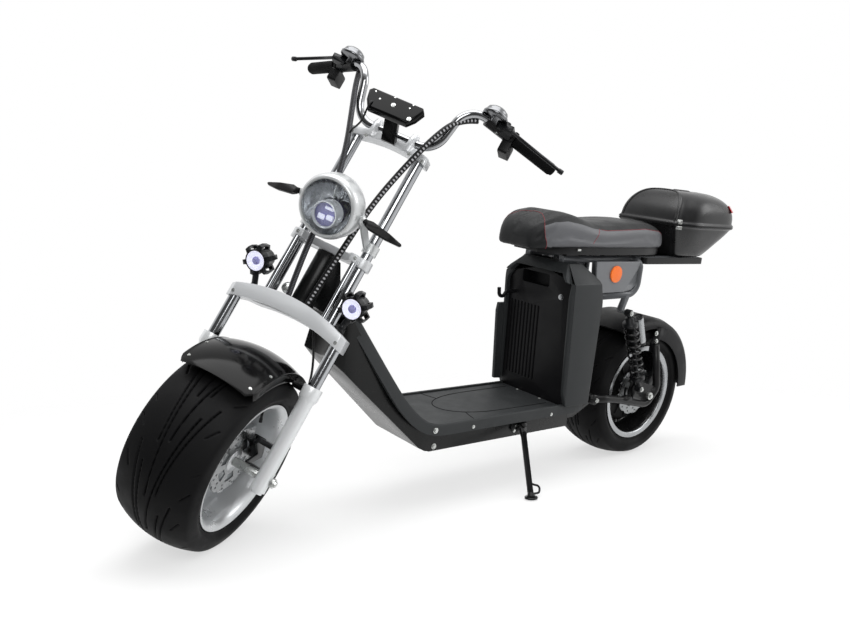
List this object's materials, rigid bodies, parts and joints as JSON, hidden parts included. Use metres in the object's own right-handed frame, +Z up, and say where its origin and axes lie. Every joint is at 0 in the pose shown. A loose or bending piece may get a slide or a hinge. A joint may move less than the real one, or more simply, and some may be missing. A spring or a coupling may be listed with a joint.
{
  "type": "electric motor scooter",
  "caption": "Low electric scooter with fat tyres, long fork, high bars, flat footboard, long saddle and luggage box, parked on its side stand.",
  "frame": {"origin": "middle of the whole box, on the ground", "axes": "+X forward along the machine, +Y to its left, +Z up; the machine leans left on its stand with the steering turned left"},
  "size_m": [2.1668, 0.6478, 1.2674],
  "materials": {
    "amber_reflector": "amber reflector",
    "battery_black": "satin black",
    "black_alloy": "black anodised",
    "black_plastic": "fine grain",
    "box_black": "grained black",
    "chrome_tube": "bright chrome plate",
    "deck_grey": "grained",
    "disc_steel": "ground steel",
    "fog_glass": "lit white ring",
    "frame_black": "gloss black",
    "frame_black_satin": "satin black",
    "frame_grey": "satin dark grey",
    "gloss_black_shell": "gloss black",
    "grip_rubber": "matt black",
    "housing_grey": "satin dark grey",
    "lamp_chrome": "silver bezel",
    "lamp_glass": "clear",
    "loom_rubber": "spiral wrapped",
    "motor_black": "black cast covers",
    "panel_grey": "satin grey",
    "pod_chrome": "polished",
    "red_reflector": "red reflector",
    "rim_black": "gloss black",
    "rim_silver": "satin silver",
    "satin_silver": "satin silver paint",
    "seat_leather": "dark grey leatherette",
    "shock_black": "black",
    "spring_black": "black powder coat",
    "tyre_rubber": "matt black rubber",
    "zinc": "zinc plated"
  },
  "bodies": {
    "chassis": {"battery_housing": "housing_grey", "battery_pack": "battery_black", "box_base": "box_black", "carrier_plate": "frame_black_satin", "deck_tray": "deck_grey", "frame_beam": "frame_black", "rear_axle": "zinc", "rear_caliper": "black_alloy", "rear_frame": "frame_grey", "rear_mudguard": "black_plastic", "seat_base": "black_plastic", "seat_cushion": "seat_leather", "shock_springs": "spring_black", "shocks": "shock_black", "side_panels": "panel_grey", "side_reflectors": "amber_reflector", "stand_bracket": "frame_black_satin", "swing_arm": "frame_black_satin", "tail_bracket": "black_plastic"},
    "fork": {"lower_clamp": "satin_silver", "middle_clamp": "satin_silver", "top_clamp": "satin_silver", "fork_tubes": "chrome_tube", "fork_legs": "satin_silver", "front_axle": "zinc", "front_mudguard": "gloss_black_shell", "front_caliper": "black_alloy", "headlamp_shell": "lamp_chrome", "headlamp_lens": "lamp_glass", "fog_lamps": "black_alloy", "fog_lenses": "fog_glass", "turn_signals": "black_plastic", "handlebar": "chrome_tube", "grips": "grip_rubber", "brake_levers": "black_alloy", "control_pods": "black_plastic", "sound_pods": "pod_chrome", "display": "black_plastic", "cable_looms": "loom_rubber"},
    "front_wheel": {"front_tyre": "tyre_rubber", "front_rim": "rim_silver", "front_disc": "disc_steel"},
    "rear_wheel": {"rear_tyre": "tyre_rubber", "rear_rim": "rim_black", "hub_motor": "motor_black", "rear_disc": "disc_steel"},
    "side_stand": {"side_stand": "frame_black_satin"},
    "box_lid": {"box_lid": "box_black", "lid_reflectors": "red_reflector"}
  },
  "joints": [
    {"name": "steering", "type": "hinge", "parent": "chassis", "child": "fork", "pos_m": [0.58694, -0.02844, 0.64542], "axis": [-0.4886, 0.1455, 0.8603], "range_deg": [-70, 0]},
    {"name": "front_wheel_spin", "type": "hinge", "parent": "fork", "child": "front_wheel", "pos_m": [0.84577, -0.07679, 0.24264], "axis": [-0.5005, 0.7609, -0.4129], "continuous": true},
    {"name": "rear_wheel_spin", "type": "hinge", "parent": "chassis", "child": "rear_wheel", "pos_m": [-0.70885, -0.09664, 0.24218], "axis": [0, 0.986, -0.1668], "continuous": true},
    {"name": "stand_fold", "type": "hinge", "parent": "chassis", "child": "side_stand", "pos_m": [-0.10671, 0.02244, 0.19072], "axis": [0.1664, 0.8195, 0.5483], "range_deg": [0, 85]},
    {"name": "lid_hinge", "type": "hinge", "parent": "chassis", "child": "box_lid", "pos_m": [-0.72443, 0.00241, 0.8278], "axis": [0, 0.986, -0.1668], "range_deg": [0, 70]}
  ]
}
